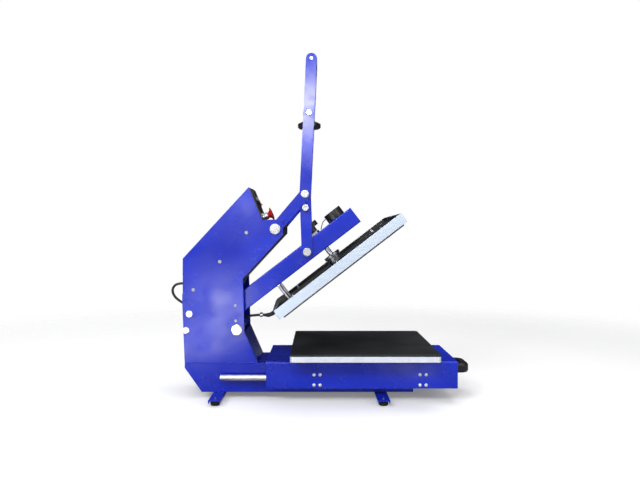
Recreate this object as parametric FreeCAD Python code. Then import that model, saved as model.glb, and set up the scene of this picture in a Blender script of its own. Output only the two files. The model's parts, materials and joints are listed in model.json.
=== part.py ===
import FreeCAD, Part
import math
import os

# Clamshell heat press with a pull-out lower platen, electromagnetic hold-down and toggle lever.
# Frame: +X towards the operator's drawer handle, +Y to the press's left side, +Z up.
# Origin: under the middle of the bounding box, at the floor. The press stands open in this pose.
# Everything on the swinging arm is drawn with the press closed and then swung open about the arm pivot.

os.makedirs("parts", exist_ok=True)
V = FreeCAD.Vector

# ---- driving dimensions, mm ----
OPEN_DEG = 37.6                     # how far the arm stands open
ARM_PIVOT = (-220.0, 185.0)         # X, Z of the arm's pivot bolt
LEVER_PIVOT = (-117.0, 456.0)       # X, Z of the lever's pivot bolt
LINK_ON_ARM = (57.0, 235.0)         # X, Z of the link's bolt on the arm, closed
CRANK = 124.2                       # lever pivot to knee
KNEE_SHORT_DEG = 4.0                # the knee stops this far short of straight
LEVER_TOP = (-19.2, 918.0)          # X, Z of the centre of the lever's rounded top
ARMATURE_PIN = (-26.0, 771.0)       # X, Z of the bolt that the armature hangs on
ROLLER_DROP = 37.0                  # knee to stop roller, along the link

PLATE_OUT = 75.0                    # half width over the side plates
PLATE_T = 5.0
LEVER_IN = 60.0                     # the lever bars' inner faces
LINK_IN = 53.0                      # the link bars' inner faces
BAR_T = 6.0
BAR_HALF = 15.0                     # half the width of a lever or link bar
ARM_HALF = 51.0                     # half the arm tube's width
ARM_BOTTOM, ARM_TOP = 211.0, 259.0  # closed
ARM_REAR, ARM_FRONT = -190.0, 224.0
ARM_WALL = 3.0

BASE_BOTTOM, BASE_TOP = 17.0, 95.0
BASE_REAR, BASE_FRONT = -360.5, 255.0
COLUMN_REAR = -367.0
SHEET = 1.5

PLATEN_X = 105.0                    # centre of the upper platen and the spindle, closed
RIM_HALF = 200.0
RIM_BOTTOM, RIM_TOP = 144.6, 170.6
HEAT_HALF = 190.0
HEAT_BOTTOM = 140.4
LID_TOP = 160.6
LID_FLANGE_TOP = 169.6
SPINDLE_R = 7.0
PLATEN_ROD_X = -62.0
PLATEN_ROD_Y = 37.0
PLATEN_ROD_R = 4.0

DRAWER_HALF = 122.5
DRAWER_REAR, DRAWER_FRONT = -137.0, 364.0
DRAWER_BOTTOM, DRAWER_TOP = 38.5, 108.6
DRAWER_T = 2.0
ROD_Y, ROD_Z, ROD_R = 96.0, 61.0, 8.0
ROD_REAR, ROD_FRONT = -262.0, 291.0
ROD_BLOCK_X = (-4.0, 273.0)
BEARING_X = (-85.0, 205.0)
LOWER_X = 118.0                     # centre of the lower platen, drawer at its rest place
LOWER_HALF = 190.0
LOWER_BOTTOM, LOWER_TOP, PAD_TOP = 120.0, 134.6, 140.1

FOOT_X = (-267.0, 168.0)
FOOT_WIDE, FOOT_HALF, FOOT_T = 31.0, 160.0, 2.5
FOOT_Z, FOOT_TALL = 9.0, 8.0
RUBBER_Y, RUBBER_R = 138.0, 12.5

PANEL_TOP = (-189.0, 569.0)         # X, Z of the control box's apex
PANEL_FOOT = (-147.0, 465.8)         # the same slope, down between the side plates
COVER_HALF = 69.5
LEAD_R = 3.5
RUN_CLEAR = 0.05                    # radial clearance of a shaft that turns or slides


# ---- small helpers ----
def box(x0, x1, y0, y1, z0, z1):
    return Part.makeBox(x1 - x0, y1 - y0, z1 - z0, V(x0, y0, z0))


def rod_y(x, z, r, y0, y1):
    """A cylinder along Y."""
    return Part.makeCylinder(r, y1 - y0, V(x, y0, z), V(0, 1, 0))


def rod_z(x, y, r, z0, z1):
    """A cylinder along Z."""
    return Part.makeCylinder(r, z1 - z0, V(x, y, z0), V(0, 0, 1))


def turned(x, y, steps):
    """A body of revolution about a vertical axis, from steps of (lower radius, upper radius, z0, z1)."""
    parts = []
    for low, high, z0, z1 in steps:
        if low == high:
            parts.append(rod_z(x, y, low, z0, z1))
        else:
            parts.append(Part.makeCone(low, high, z1 - z0, V(x, y, z0), V(0, 0, 1)))
    return fuse(parts)


def side_profile(points, y0, y1):
    """An outline in X, Z pulled along Y."""
    ring = [V(x, y0, z) for x, z in points]
    face = Part.Face(Part.makePolygon(ring + ring[:1]))
    return face.extrude(V(0, y1 - y0, 0))


def hexagon(x, z, across_flats, y0, y1):
    """A hexagonal head with its axis along Y."""
    reach = across_flats / math.sqrt(3.0)
    corners = [(x + reach * math.cos(math.radians(60 * k)), z + reach * math.sin(math.radians(60 * k)))
               for k in range(6)]
    return side_profile(corners, y0, y1)


def both_sides(shape):
    """The shape and its mirror image across the middle plane."""
    return [shape, shape.mirror(V(0, 0, 0), V(0, 1, 0))]


def fuse(shapes):
    whole = shapes[0]
    for extra in shapes[1:]:
        whole = whole.fuse(extra)
    return whole.removeSplitter()


def cut(shape, tools):
    for tool in tools:
        shape = shape.cut(tool)
    return shape


def opened(shape):
    """A shape drawn closed, swung to the open pose about the arm pivot."""
    turned = shape.copy()
    turned.rotate(V(ARM_PIVOT[0], 0, ARM_PIVOT[1]), V(0, 1, 0), -OPEN_DEG)
    return turned


def write(name, shapes):
    if not isinstance(shapes, list):
        shapes = [shapes]
    solids = [solid for shape in shapes for solid in shape.Solids]
    for solid in solids:
        if not solid.isValid():
            print("INVALID", name)
    Part.makeCompound(solids).exportStep("parts/" + name + ".step")


def polar(centre, length, degrees):
    """A point at a distance and an angle in the X, Z plane, anticlockwise from +X."""
    turn = math.radians(degrees)
    return (centre[0] + length * math.cos(turn), centre[1] + length * math.sin(turn))


def direction(a, b):
    return math.degrees(math.atan2(b[1] - a[1], b[0] - a[0]))


def distance(a, b):
    return math.hypot(b[0] - a[0], b[1] - a[1])


def bent_bar(points, y0, y1, half=BAR_HALF):
    """A flat bar along a line of points in X, Z, with mitred bends and round ends."""
    left, right = [], []
    for k, point in enumerate(points):
        before = direction(points[max(k - 1, 0)], points[max(k, 1)])
        after = direction(points[min(k, len(points) - 2)], points[min(k + 1, len(points) - 1)])
        reach = half / math.cos(math.radians((after - before) / 2))
        left.append(polar(point, reach, (before + after) / 2 + 90))
        right.append(polar(point, reach, (before + after) / 2 - 90))
    body = side_profile(left + right[::-1], y0, y1)
    ends = [rod_y(x, z, half, y0, y1) for x, z in (points[0], points[-1])]
    return fuse([body] + ends)


def tube_path(points, radius, fold=0.45):
    """A round lead along a route: straight runs joined by tangent arcs. The smallest radius is printed."""
    edges = []
    start = points[0]
    radii = []
    for before, corner, after in zip(points, points[1:], points[2:]):
        back = before - corner
        on = after - corner
        back_length, on_length = back.Length, on.Length
        back.normalize()
        on.normalize()
        trim = fold * min(back_length, on_length)
        turn = math.pi - back.getAngle(on)
        radii.append(trim / math.tan(turn / 2))
        first = corner + back * trim
        last = corner + on * trim
        middle = back + on
        middle.normalize()
        bulge = radii[-1] * (1 / math.cos(turn / 2) - 1)
        edges.append(Part.LineSegment(start, first).toShape())
        edges.append(Part.Arc(first, corner + middle * bulge, last).toShape())
        start = last
    edges.append(Part.LineSegment(start, points[-1]).toShape())
    wire = Part.Wire(edges)
    heading = points[1] - points[0]
    profile = Part.Wire(Part.makeCircle(radius, points[0], heading))
    lead = wire.makePipeShell([profile], True, False)
    print("lead", round(wire.Length, 1), "mm, smallest radius", round(min(radii), 1),
          "volume ratio", round(lead.Volume / (wire.Length * math.pi * radius ** 2), 4))
    return lead


# ---- the linkage, worked out from the driving dimensions ----
ARM_PIVOT_V = V(ARM_PIVOT[0], 0, ARM_PIVOT[1])
ARM_ANGLE = direction(ARM_PIVOT, LINK_ON_ARM)
LINK_FOOT = polar(ARM_PIVOT, distance(ARM_PIVOT, LINK_ON_ARM), ARM_ANGLE + OPEN_DEG)
SPAN_CLOSED = distance(LEVER_PIVOT, LINK_ON_ARM)
SHORT = math.radians(KNEE_SHORT_DEG)
LINK = math.sqrt(SPAN_CLOSED ** 2 - (CRANK * math.sin(SHORT)) ** 2) - CRANK * math.cos(SHORT)


def knee_place(foot):
    """Where the knee is, on the operator's side of the line from lever pivot to link foot."""
    span = distance(LEVER_PIVOT, foot)
    at_pivot = math.degrees(math.acos((CRANK ** 2 + span ** 2 - LINK ** 2) / (2 * CRANK * span)))
    return polar(LEVER_PIVOT, CRANK, direction(LEVER_PIVOT, foot) + at_pivot)


KNEE = knee_place(LINK_FOOT)
KNEE_CLOSED = knee_place(LINK_ON_ARM)
LEVER_DEG = direction(LEVER_PIVOT, KNEE) - direction(LEVER_PIVOT, KNEE_CLOSED)
LINK_DEG = direction(KNEE_CLOSED, LINK_ON_ARM) - direction(KNEE, LINK_FOOT)
print("knee", KNEE, "link", LINK, "lever closes by", LEVER_DEG, "link turns back by", LINK_DEG)
print("ratios lever/arm", LEVER_DEG / OPEN_DEG, "link/arm", -(LINK_DEG + LEVER_DEG) / OPEN_DEG)
ROLLER_AT = polar(KNEE, ROLLER_DROP, direction(KNEE, LINK_FOOT))
PIN_REACH = distance(LEVER_PIVOT, ARMATURE_PIN)
PIN_CLOSED = polar(LEVER_PIVOT, PIN_REACH, direction(LEVER_PIVOT, ARMATURE_PIN) - LEVER_DEG)
ARMATURE_DROP = 31.5
MAGNET_GAP = 0.5
MAGNET_TOP = PIN_CLOSED[1] - ARMATURE_DROP - MAGNET_GAP
MAGNET_X = PIN_CLOSED[0]
print("armature pin closed", PIN_CLOSED, "magnet height", MAGNET_TOP - ARM_TOP)


# ---- standing frame ----
SIDE_OUTLINE = [(-360.5, 95.0), (-367.0, 259.0), (-367.0, 281.0), (-180.0, 479.5), (-95.5, 482.0),
                (-95.5, 440.5), (-204.0, 322.0), (-200.0, 179.0), (-163.0, 95.0)]
COVER_SCREWS = [(-194.0, 446.0), (-266.0, 368.0), (-337.0, 292.0)]
SWITCH_SCREWS = [(-224.0, 250.0), (-223.0, 209.0)]
ANCHOR = (-347.0, 228.0)
TIE = (-356.0, 184.0)
PIVOT_R = 8.0
PIVOT_HEAD = 24.0                   # across the flats
PIVOT_HEAD_TALL = 8.0
PIVOT_WASHER_R = 14.0
PIVOT_WASHER_T = 2.0
ANCHOR_R = 5.0
TIE_R = 4.0
SCREW_R = 2.5


def base_box():
    outline = [(BASE_REAR, BASE_TOP), (BASE_REAR, 82.0), (-314.5, BASE_BOTTOM), (BASE_FRONT, BASE_BOTTOM),
               (BASE_FRONT, BASE_TOP)]
    wall = 4.0
    inside = [(BASE_REAR + wall, BASE_TOP - wall), (BASE_REAR + wall, 83.5), (-312.5, BASE_BOTTOM + wall),
              (BASE_FRONT - wall, BASE_BOTTOM + wall), (BASE_FRONT - wall, BASE_TOP - wall)]
    shell = side_profile(outline, -PLATE_OUT, PLATE_OUT)
    hollow = side_profile(inside, wall - PLATE_OUT, PLATE_OUT - wall)
    return shell.cut(hollow)


def side_plate():
    plate = side_profile(SIDE_OUTLINE, PLATE_OUT - PLATE_T, PLATE_OUT)
    holes = [(ARM_PIVOT, PIVOT_R), (LEVER_PIVOT, PIVOT_R), (ANCHOR, ANCHOR_R), (TIE, TIE_R)]
    holes += [(place, SCREW_R) for place in COVER_SCREWS + SWITCH_SCREWS]
    return cut(plate, [rod_y(x, z, r, PLATE_OUT - 2 * PLATE_T, PLATE_OUT + 1) for (x, z), r in holes])


def strip(points, thick, half):
    """A bent sheet: a line of points in X, Z given a thickness to its right, pulled along Y."""
    outer, inner = [], []
    for k, point in enumerate(points):
        before = direction(points[max(k - 1, 0)], points[max(k, 1)])
        after = direction(points[min(k, len(points) - 2)], points[min(k + 1, len(points) - 1)])
        reach = thick / math.cos(math.radians((after - before) / 2))
        outer.append(point)
        inner.append(polar(point, reach, (before + after) / 2 - 90))
    return side_profile(outer + inner[::-1], -half, half)


GROMMET = (-367.0, 240.0)
GROMMET_R = 6.5


def rear_panel():
    panel = strip([(-360.5, BASE_TOP), (COLUMN_REAR, 259.0), (COLUMN_REAR, 277.0)], SHEET, 69.8)
    hole = Part.makeCylinder(GROMMET_R, 30, V(-380, 0, GROMMET[1]), V(1, 0, 0))
    return panel.cut(hole)


def front_plate():
    return strip([(-200.6, 178.0), (-164.0, BASE_TOP)][::-1], 2.0, 69.8)


def under_cover():
    """The black floor of the control box, which also closes the head's underside and nose."""
    floor = strip([(-363.0, 274.0), (-216.0, 296.0), (-206.0, 322.0)][::-1], SHEET, 67.5)
    slope = strip([(-206.0, 322.0), (-92.0, 444.5), (-92.0, 478.0), (-142.0, 466.5)], SHEET, 58.5)
    return fuse([floor, slope])


def cover_side(half):
    """The control box cover's outline as a solid."""
    return side_profile([(COLUMN_REAR, 279.0), (COLUMN_REAR, 376.0), PANEL_TOP, PANEL_FOOT, (-158.0, 452.0),
                         (-232.0, 330.0), (-352.0, 279.0)], -half, half)


def control_cover():
    outside = cover_side(COVER_HALF)
    inset = SHEET
    hollow = side_profile([(COLUMN_REAR + inset, 200.0), (COLUMN_REAR + inset, 375.3), (-189.8, 566.2),
                           (-120.0, 640.0), (-60.0, 420.0), (-232.0, 200.0)], inset - COVER_HALF,
                          COVER_HALF - inset)
    shell = outside.cut(hollow)
    holes = [rod_y(x, z, SCREW_R, -PLATE_OUT, PLATE_OUT) for x, z in COVER_SCREWS]
    gland = Part.makeCylinder(GLAND_R, 20, V(COLUMN_REAR - 10, 0, GLAND_Z), V(1, 0, 0))
    inlet = box(COLUMN_REAR - 10, COLUMN_REAR + 10, INLET_Y - INLET_W / 2, INLET_Y + INLET_W / 2,
                INLET_Z - INLET_H / 2, INLET_Z + INLET_H / 2)
    return cut(shell, holes + [gland, inlet])


GLAND_Z = 303.0
GLAND_R = 6.0
INLET_Y, INLET_Z = -34.0, 342.0
INLET_HALF_Y, INLET_HALF_Z = 24.0, 12.5
INLET_FLANGE_T = 3.0
INLET_W, INLET_H = 27.0, 20.0


# ---- control panel: drawn flat, face up, then set on its slope ----
PANEL_LENGTH = distance(PANEL_TOP, PANEL_FOOT)
PANEL_HALF = COVER_HALF - SHEET - 0.1
PANEL_RAISE = 3.6                   # local zero lies this far outside the cover's edges
PANEL_SINK = 0.6                    # the panel's face lies this far below local zero
PANEL_T = 5.2
UNIT_U, UNIT_Y = 25.0, -8.0
UNIT_HALF_U, UNIT_HALF_Y = 20.0, 42.0
UNIT_BODY_U = (18.0, 43.0)
UNIT_DEPTH = 30.0
BEZEL_TOP = 2.6
WINDOW_U, WINDOW_HALF_Y, WINDOW_FLOOR = (10.0, 27.0), 30.0, 1.1
ROCKER_U, ROCKER_Y = 41.0, 50.0
ROCKER_HALF_U, ROCKER_HALF_Y = 9.5, 7.0
ROCKER_RIM = 2.0
ESTOP_U, ESTOP_Y = 88.0, -26.0
ESTOP_BORE = 8.0
ESTOP_NECK = 9.9
KEY_U = 33.0
KEY_Y = (-27.0, -9.0, 9.0, 27.0)
KEY_HALF_U, KEY_HALF_Y = 4.5, 6.5
KEY_TOP = 3.4
KEY_GAP = 0.3
KEY_FLOOR = -1.5                    # the bottom of the pockets that the keys stand in
ROCKER_FLANGE = 1.4
NEAR = 0.1                          # how close a point lies to count as on a line
THROUGH = 9.0                       # half the depth of a cutting tool that goes right through a sheet


def on_panel(shape):
    """u runs down the panel from the apex as local X, Y stays, local Z is the panel's outward normal."""
    tilt = -direction(PANEL_TOP, PANEL_FOOT)
    placed = shape.copy()
    placed.translate(V(0, 0, PANEL_RAISE))
    placed.rotate(V(0, 0, 0), V(0, 1, 0), tilt)
    placed.translate(V(PANEL_TOP[0], 0, PANEL_TOP[1]))
    return placed


def around(u, y, half_u, half_y, z0, z1):
    """A block on the panel, from its middle and half sizes."""
    return box(u - half_u, u + half_u, y - half_y, y + half_y, z0, z1)


def unit_body(z0, z1):
    return box(UNIT_BODY_U[0], UNIT_BODY_U[1], UNIT_Y + 2.0 - UNIT_HALF_Y, UNIT_Y + UNIT_HALF_Y - 2.0, z0, z1)


def control_panel():
    plate = box(3.0, PANEL_LENGTH - 1.0, -PANEL_HALF, PANEL_HALF, -PANEL_SINK - PANEL_T, -PANEL_SINK)
    slot = around(ROCKER_U, ROCKER_Y, ROCKER_HALF_U, ROCKER_HALF_Y, -THROUGH, THROUGH)
    hole = rod_z(ESTOP_U, ESTOP_Y, ESTOP_NECK + 0.1, -THROUGH, THROUGH)
    return on_panel(cut(plate, [unit_body(-THROUGH, THROUGH), slot, hole]))


def controller():
    bezel = around(UNIT_U, UNIT_Y, UNIT_HALF_U, UNIT_HALF_Y, -PANEL_SINK, BEZEL_TOP)
    pocket = box(WINDOW_U[0], WINDOW_U[1], UNIT_Y - WINDOW_HALF_Y, UNIT_Y + WINDOW_HALF_Y,
                 WINDOW_FLOOR, THROUGH)
    half_u = KEY_HALF_U + KEY_GAP
    half_y = KEY_HALF_Y + KEY_GAP
    keys = [around(KEY_U, UNIT_Y + y, half_u, half_y, KEY_FLOOR, THROUGH) for y in KEY_Y]
    return on_panel(cut(fuse([unit_body(-UNIT_DEPTH, -PANEL_SINK), bezel]), [pocket] + keys))


def display_window():
    return on_panel(box(WINDOW_U[0], WINDOW_U[1], UNIT_Y - WINDOW_HALF_Y, UNIT_Y + WINDOW_HALF_Y,
                        WINDOW_FLOOR, BEZEL_TOP - 0.4))


def controller_keys():
    return [on_panel(around(KEY_U, UNIT_Y + y, KEY_HALF_U, KEY_HALF_Y, 0.2, KEY_TOP)) for y in KEY_Y]


def rocker_housing():
    flange = around(ROCKER_U, ROCKER_Y, ROCKER_HALF_U + ROCKER_RIM, ROCKER_HALF_Y + ROCKER_RIM,
                    -PANEL_SINK, ROCKER_FLANGE)
    body = around(ROCKER_U, ROCKER_Y, ROCKER_HALF_U, ROCKER_HALF_Y, -18.0, -PANEL_SINK)
    well = around(ROCKER_U, ROCKER_Y, ROCKER_HALF_U - 1.0, ROCKER_HALF_Y - 1.0, -THROUGH, THROUGH)
    return on_panel(fuse([flange, body]).cut(well))


def power_rocker():
    """Seen from the side: a shallow V on a round back, with its lower end standing proud."""
    arm = ROCKER_HALF_U - 1.6
    points = [(-arm, 2.6), (0.0, 2.4), (arm, 6.6), (arm * 0.55, -4.0), (-arm * 0.55, -4.0)]
    body = side_profile([(ROCKER_U + u, n) for u, n in points], ROCKER_Y - ROCKER_HALF_Y + 1.3,
                        ROCKER_Y + ROCKER_HALF_Y - 1.3)
    return on_panel(body)


def estop_collar():
    outside = turned(ESTOP_U, ESTOP_Y, [(ESTOP_NECK, ESTOP_NECK, -22.0, -PANEL_SINK),
                                        (13.0, 13.0, -PANEL_SINK, 1.8), (11.5, 11.5, 1.8, 5.6),
                                        (9.8, 9.8, 5.6, 13.4)])
    bore = rod_z(ESTOP_U, ESTOP_Y, ESTOP_BORE + RUN_CLEAR, -12.0, 16.0)
    return on_panel(outside.cut(bore))


def estop_button():
    """A stem in the collar's bore, and a head that flares like a mushroom to a thin, wide rim."""
    return on_panel(turned(ESTOP_U, ESTOP_Y, [(ESTOP_BORE, ESTOP_BORE, -6.0, 18.0), (9.0, 10.5, 17.6, 20.6),
                                              (10.5, 19.0, 20.6, 24.0), (19.0, 19.0, 24.0, 25.4),
                                              (19.0, 12.0, 25.4, 27.8)]))


# ---- fasteners on the frame ----
def through_bolt(place, r, half, flats, head, washer_r, washer_t):
    """A shaft right through both side plates, with a washer and a hexagonal head at each end."""
    x, z = place
    shaft = rod_y(x, z, r, -half - washer_t, half + washer_t)
    ends = both_sides(rod_y(x, z, washer_r, half, half + washer_t))
    heads = both_sides(hexagon(x, z, flats, half + washer_t, half + washer_t + head))
    return fuse([shaft] + ends + heads)


def pivot_bolts():
    bolts = [through_bolt(place, PIVOT_R, PLATE_OUT, PIVOT_HEAD, PIVOT_HEAD_TALL,
                          PIVOT_WASHER_R, PIVOT_WASHER_T)
             for place in (ARM_PIVOT, LEVER_PIVOT)]
    x, z = LEVER_PIVOT
    bolts += both_sides(cut(rod_y(x, z, 13.0, LEVER_IN + BAR_T + 0.3, PLATE_OUT - PLATE_T),
                            [rod_y(x, z, PIVOT_R, LEVER_IN, PLATE_OUT)]))
    sleeve = rod_y(x, z, 11.0, -LEVER_IN + 0.3, LEVER_IN - 0.3)
    bolts.append(sleeve.cut(rod_y(x, z, PIVOT_R, -PLATE_OUT, PLATE_OUT)))
    return bolts


def rear_bolts():
    x, z = ANCHOR
    anchor = fuse([rod_y(x, z, ANCHOR_R, -PLATE_OUT, PLATE_OUT)]
                  + both_sides(rod_y(x, z, 8.5, PLATE_OUT, PLATE_OUT + 7.0)))
    sockets = both_sides(hexagon(x, z, 8.0, PLATE_OUT + 3.0, PLATE_OUT + 9.0))
    tie = through_bolt(TIE, TIE_R, PLATE_OUT, 15.0, 6.0, 8.5, 1.5)
    return [cut(anchor, sockets), tie]


def frame_screws():
    screws = []
    for x, z in COVER_SCREWS:
        shank = rod_y(x, z, SCREW_R, COVER_HALF - SHEET, PLATE_OUT)
        head = rod_y(x, z, 4.7, PLATE_OUT, PLATE_OUT + 2.6)
        screws += both_sides(fuse([shank, head]))
    for x, z in SWITCH_SCREWS:
        shank = rod_y(x, z, SCREW_R, PLATE_OUT - PLATE_T - 3.0, PLATE_OUT)
        head = rod_y(x, z, 3.6, PLATE_OUT, PLATE_OUT + 1.8)
        screws.append(fuse([shank, head]).mirror(V(0, 0, 0), V(0, 1, 0)))
    for x in FOOT_X:
        screws += both_sides(rod_z(x, RUBBER_Y, 3.2, BASE_BOTTOM, BASE_BOTTOM + 1.6))
    return screws


def limit_switch():
    """The switch that the arm's tail presses when the press is shut, on the right side plate."""
    y_out = PLATE_T - PLATE_OUT
    bracket = box(-229.0, -217.0, y_out, y_out + 3.0, 203.0, 256.0)
    holes = [rod_y(x, z, SCREW_R, -PLATE_OUT, y_out + 3.0) for x, z in SWITCH_SCREWS]
    body = box(-233.0, -213.0, y_out + 3.0, y_out + 13.0, 219.0, 240.0)
    plunger = rod_z(-223.0, y_out + 8.0, 2.0, 240.0, 244.0)
    return fuse([cut(bracket, holes), body, plunger])


# ---- feet, slides ----
def foot_channels():
    channels = []
    for x in FOOT_X:
        outside = box(x - FOOT_WIDE / 2, x + FOOT_WIDE / 2, -FOOT_HALF, FOOT_HALF, FOOT_Z, FOOT_Z + FOOT_TALL)
        inside = box(x - FOOT_WIDE / 2 + FOOT_T, x + FOOT_WIDE / 2 - FOOT_T, -FOOT_HALF - 1, FOOT_HALF + 1,
                     FOOT_Z - 1, FOOT_Z + FOOT_TALL - FOOT_T)
        channels.append(outside.cut(inside))
    return channels


def rubber_feet():
    feet = []
    for x in FOOT_X:
        top = FOOT_Z + FOOT_TALL - FOOT_T
        bottom = Part.makeCone(RUBBER_R - 1.5, RUBBER_R, 4.0, V(x, RUBBER_Y, 0), V(0, 0, 1))
        feet += both_sides(fuse([bottom, rod_z(x, RUBBER_Y, RUBBER_R, 4.0, top)]))
    return feet


def slide_bearings():
    blocks = []
    for x in BEARING_X:
        block = box(x - 20.0, x + 20.0, PLATE_OUT, ROD_Y + 14.0, ROD_Z - 16.0, ROD_Z + 16.0)
        bore = Part.makeCylinder(ROD_R + RUN_CLEAR, 60, V(x - 30, ROD_Y, ROD_Z), V(1, 0, 0))
        blocks += both_sides(block.cut(bore))
    return blocks


# ---- drawer ----
def drawer_shell():
    outside = box(DRAWER_REAR, DRAWER_FRONT, -DRAWER_HALF, DRAWER_HALF, DRAWER_BOTTOM, DRAWER_TOP)
    top_edges = [e for e in outside.Edges
                 if abs(e.CenterOfMass.z - DRAWER_TOP) < NEAR
                 and abs(abs(e.CenterOfMass.y) - DRAWER_HALF) < NEAR]
    outside = outside.makeFillet(5.0, top_edges)
    inside = box(DRAWER_REAR - 9, DRAWER_FRONT - DRAWER_T, DRAWER_T - DRAWER_HALF, DRAWER_HALF - DRAWER_T,
                 DRAWER_BOTTOM - 9, DRAWER_TOP - DRAWER_T)
    top_edges = [e for e in inside.Edges
                 if abs(e.CenterOfMass.z - DRAWER_TOP + DRAWER_T) < 0.1
                 and abs(abs(e.CenterOfMass.y) - DRAWER_HALF + DRAWER_T) < 0.1]
    inside = inside.makeFillet(3.0, top_edges)
    holes = []
    for x, z in block_screw_places():
        holes += both_sides(rod_y(x, z, BLOCK_SCREW_R, ROD_Y, DRAWER_HALF + 9))
    return cut(outside.cut(inside), holes)


BLOCK_SCREW_R = 3.0
BLOCK_SCREW_DX, BLOCK_SCREW_DZ = 8.0, 13.5


def block_screw_places():
    return [(x + side * BLOCK_SCREW_DX, ROD_Z + up * BLOCK_SCREW_DZ)
            for x in ROD_BLOCK_X for side in (-1, 1) for up in (-1, 1)]


def rod_blocks():
    blocks = []
    for x in ROD_BLOCK_X:
        block = box(x - 18.0, x + 18.0, PLATE_OUT + 6.0, DRAWER_HALF - DRAWER_T, ROD_Z - 20.0, ROD_Z + 20.0)
        bore = Part.makeCylinder(ROD_R, 60, V(x - 30, ROD_Y, ROD_Z), V(1, 0, 0))
        holes = [rod_y(sx, sz, BLOCK_SCREW_R, DRAWER_HALF - 12.0, DRAWER_HALF)
                 for sx, sz in block_screw_places() if abs(sx - x) < 20.0]
        blocks += both_sides(cut(block, [bore] + holes))
    return blocks


def block_screws():
    screws = []
    for x, z in block_screw_places():
        shank = rod_y(x, z, BLOCK_SCREW_R, DRAWER_HALF - 12.0, DRAWER_HALF)
        dome = Part.makeSphere(5.2, V(x, DRAWER_HALF - 2.2, z))
        dome = dome.common(box(x - 9, x + 9, DRAWER_HALF, DRAWER_HALF + 9, z - 9, z + 9))
        socket = hexagon(x, z, 3.0, DRAWER_HALF + 1.2, DRAWER_HALF + 9)
        screws += both_sides(cut(fuse([shank, dome]), [socket]))
    return screws


def drawer_rods():
    rods = []
    chamfer = 1.5
    for side in (-1, 1):
        start = V(ROD_REAR + chamfer, side * ROD_Y, ROD_Z)
        bar = Part.makeCylinder(ROD_R, ROD_FRONT - ROD_REAR - chamfer, start,
                                V(1, 0, 0))
        nose = Part.makeCone(ROD_R - chamfer, ROD_R, chamfer, V(ROD_REAR, side * ROD_Y, ROD_Z), V(1, 0, 0))
        rods.append(fuse([bar, nose]))
    return rods


def drawer_handle():
    """A moulded bow: two legs and a thick bar, joined by round corners."""
    depth, half, bar, leg = 51.0, 45.0, 20.0, 17.0
    z0, z1 = 61.0, 87.0
    outside = box(DRAWER_FRONT - 20, DRAWER_FRONT + depth, -half, half, z0, z1)
    front = [e for e in outside.Edges if abs(e.CenterOfMass.x - DRAWER_FRONT - depth) < 0.1
             and abs(abs(e.CenterOfMass.y) - half) < 0.1]
    outside = outside.makeFillet(22.0, front)
    outside = outside.common(box(DRAWER_FRONT, DRAWER_FRONT + depth, -half, half, z0, z1))
    rims = [e for e in outside.Edges if e.BoundBox.ZLength < 0.1 and e.CenterOfMass.x > DRAWER_FRONT + 1]
    outside = outside.makeFillet(7.0, rims)
    gap = box(DRAWER_FRONT - 20, DRAWER_FRONT + depth - bar, leg - half, half - leg, z0 - 9, z1 + 9)
    corners = [e for e in gap.Edges if abs(e.CenterOfMass.x - DRAWER_FRONT - depth + bar) < 0.1
               and e.BoundBox.ZLength > 9]
    return outside.cut(gap.makeFillet(9.0, corners))


def rounded_slab(cx, half, z0, z1, corner):
    slab = box(cx - half, cx + half, -half, half, z0, z1)
    return slab.makeFillet(corner, [e for e in slab.Edges if e.BoundBox.ZLength > (z1 - z0) / 2])


def standoffs():
    return [rod_z(LOWER_X + sx * 120.0, sy * 80.0, 10.0, DRAWER_TOP, LOWER_BOTTOM)
            for sx in (-1, 1) for sy in (-1, 1)]


# ---- arm and what it carries, drawn closed ----
SPRING_PIN = (-193.0, 236.0)        # X, Z of the pin that the return springs pull, closed
SPRING_PIN_R = 4.0
BUSH_R = 12.5
NUT_R = 12.0
ROD_BUSH_R = 7.0


def arm_tube():
    tube = box(ARM_REAR, ARM_FRONT, -ARM_HALF, ARM_HALF, ARM_BOTTOM, ARM_TOP)
    bore = box(ARM_REAR - 9, ARM_FRONT - ARM_WALL, ARM_WALL - ARM_HALF, ARM_HALF - ARM_WALL,
               ARM_BOTTOM + ARM_WALL, ARM_TOP - ARM_WALL)
    long_edges = [e for e in tube.Edges if e.BoundBox.XLength > 99]
    tube = tube.makeFillet(3.0, long_edges)
    holes = [rod_z(PLATEN_X, 0, NUT_R, ARM_BOTTOM - 9, ARM_TOP + 9)]
    holes += [rod_z(PLATEN_ROD_X, y, ROD_BUSH_R, ARM_BOTTOM - 9, ARM_BOTTOM + 9)
              for y in (-PLATEN_ROD_Y, PLATEN_ROD_Y)]
    return opened(cut(tube.cut(bore), holes))


CHEEK_FRONT = -130.0
CHEEK_T = 4.0


def arm_cheeks():
    """Two cheeks welded in the tube's tail, the bush that turns on the pivot bolt, and the spring pin."""
    px, pz = ARM_PIVOT
    y1 = ARM_HALF - ARM_WALL
    y0 = y1 - CHEEK_T
    web = side_profile([(CHEEK_FRONT, ARM_BOTTOM + ARM_WALL), (CHEEK_FRONT, ARM_TOP - ARM_WALL),
                        (-199.0, ARM_TOP - ARM_WALL), (-211.0, 246.0), (px - BUSH_R, pz), (px, pz),
                        (px + BUSH_R - 0.5, pz), (ARM_REAR, ARM_BOTTOM + ARM_WALL)], y0, y1)
    eye = rod_y(px, pz, BUSH_R, y0, y1)
    cheeks = both_sides(fuse([web, eye]))
    bush = rod_y(px, pz, BUSH_R, -PLATE_OUT + PLATE_T + 0.4, PLATE_OUT - PLATE_T - 0.4)
    pin = rod_y(SPRING_PIN[0], SPRING_PIN[1], SPRING_PIN_R, -y1, y1)
    whole = fuse(cheeks + [bush, pin])
    return opened(whole.cut(rod_y(px, pz, PIVOT_R + RUN_CLEAR, -PLATE_OUT, PLATE_OUT)))


NUT_FLATS = 24.0
NUT_HEX_TALL = 6.0


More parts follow.
